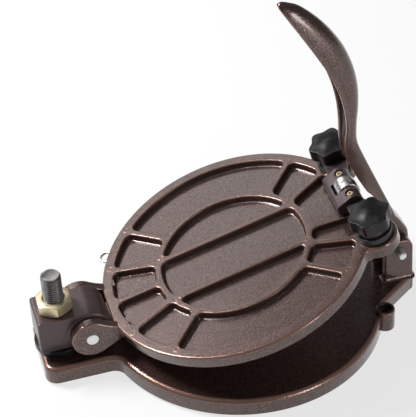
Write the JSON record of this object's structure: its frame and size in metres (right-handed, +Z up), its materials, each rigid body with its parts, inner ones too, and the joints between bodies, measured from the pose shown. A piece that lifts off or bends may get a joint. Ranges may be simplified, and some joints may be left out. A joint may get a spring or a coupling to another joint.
{
  "type": "tortilla press",
  "caption": "Round cast tortilla press: a flat base and a ribbed top plate hinged at one side, a roller bridge held by two star knobs, and a curved hand lever that presses on the roller.",
  "frame": {"origin": "on the surface that the press stands on, under the middle of its bounding box", "axes": "+X from the plate hinge towards the lever, +Y to the far side, +Z up"},
  "size_m": [0.3634, 0.265, 0.3395],
  "materials": {
    "cast_bronze": "hammered bronze powder coat",
    "block_bronze": "gloss dark bronze coat",
    "black_plastic": "semi-gloss moulded",
    "grey_plastic": "satin moulded",
    "bright_steel": "turned bright",
    "gold_zinc": "yellow zinc plated",
    "bearing_steel": "polished",
    "bush_bronze": "sintered",
    "rubber": "matt"
  },
  "bodies": {
    "frame": {"base": "cast_bronze", "foot_near_left": "rubber", "foot_near_right": "rubber", "foot_far_left": "rubber", "foot_far_right": "rubber", "height_stud": "bright_steel", "height_spacer": "black_plastic", "hinge_block": "block_bronze", "hinge_bush": "bush_bronze", "height_nut": "gold_zinc", "lever_pin": "bright_steel", "pin_clip": "bright_steel"},
    "plate": {"top_plate": "cast_bronze", "hinge_pin": "bright_steel", "knob_spacer_near": "grey_plastic", "knob_spacer_far": "grey_plastic", "knob_stud_near": "bright_steel", "knob_stud_far": "bright_steel", "roller_bridge": "cast_bronze", "roller_axle": "bright_steel", "clamp_screw_near": "gold_zinc", "clamp_screw_far": "gold_zinc", "bearing_inner_near": "bearing_steel", "bearing_inner_far": "bearing_steel", "ball_near_1": "bearing_steel", "ball_near_2": "bearing_steel", "ball_near_3": "bearing_steel", "ball_near_4": "bearing_steel", "ball_near_5": "bearing_steel", "ball_near_6": "bearing_steel", "ball_near_7": "bearing_steel", "ball_far_1": "bearing_steel", "ball_far_2": "bearing_steel", "ball_far_3": "bearing_steel", "ball_far_4": "bearing_steel", "ball_far_5": "bearing_steel", "ball_far_6": "bearing_steel", "ball_far_7": "bearing_steel", "wire_eye": "bright_steel"},
    "roller": {"bearing_outer_near": "bearing_steel", "bearing_outer_far": "bearing_steel", "shield_near_in": "bright_steel", "shield_near_out": "bright_steel", "shield_far_in": "bright_steel", "shield_far_out": "bright_steel"},
    "near_knob": {"knob_near": "black_plastic"},
    "far_knob": {"knob_far": "black_plastic"},
    "lever": {"lever": "cast_bronze", "lever_bush": "bush_bronze"}
  },
  "joints": [
    {"name": "plate_hinge", "type": "hinge", "parent": "frame", "child": "plate", "pos_m": [-0.13255, 0, 0.0406], "axis": [0, -1, 0], "range_deg": [-15.3, 40.9]},
    {"name": "lever_pivot", "type": "hinge", "parent": "frame", "child": "lever", "pos_m": [0.16475, 0, 0.055], "axis": [0, -1, 0], "range_deg": [-75, 28.1]},
    {"name": "roller_spin", "type": "hinge", "parent": "plate", "child": "roller", "pos_m": [0.1195, 0, 0.12469], "axis": [0, 1, 0], "continuous": true},
    {"name": "near_knob_turn", "type": "hinge", "parent": "plate", "child": "near_knob", "pos_m": [0.12817, -0.054, 0.11192], "axis": [-0.2639, 0, 0.9646], "continuous": true},
    {"name": "far_knob_turn", "type": "hinge", "parent": "plate", "child": "far_knob", "pos_m": [0.12817, 0.054, 0.11192], "axis": [-0.2639, 0, 0.9646], "continuous": true}
  ],
  "couplings": [
    {"joint": "lever_pivot", "follows": "plate_hinge", "ratio": -1.8301}
  ]
}
